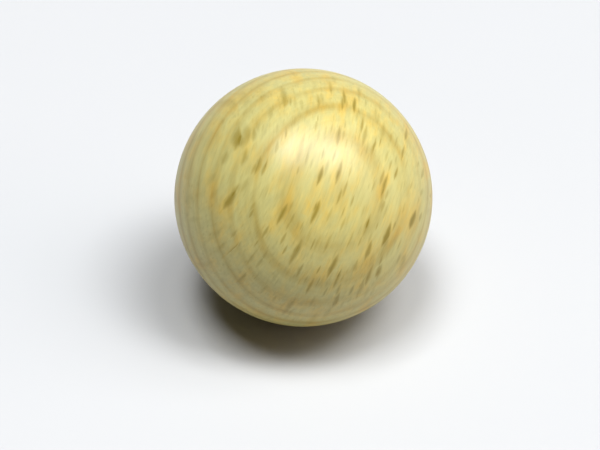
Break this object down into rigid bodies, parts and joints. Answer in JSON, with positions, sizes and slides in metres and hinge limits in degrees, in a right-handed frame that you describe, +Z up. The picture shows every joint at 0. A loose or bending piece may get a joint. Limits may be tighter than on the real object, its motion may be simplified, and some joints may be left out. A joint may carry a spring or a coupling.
{
  "type": "wooden ball",
  "caption": "Solid turned beech ball, plain and undrilled, that rolls freely or sits in a cup, ring or dowelled seat.",
  "frame": {"origin": "centre of the ball", "axes": "+Z up through the ball's centre, away from the seat at its underside; +X to the right and +Y away as the ball is seen from the front; the grain runs at a slant to all three"},
  "size_m": [0.03, 0.03, 0.03],
  "materials": {
    "beech": "turned and sanded smooth, with a thin clear satin coat over pale yellow beech"
  },
  "bodies": {
    "root": {"ball": "beech"}
  },
  "joints": []
}
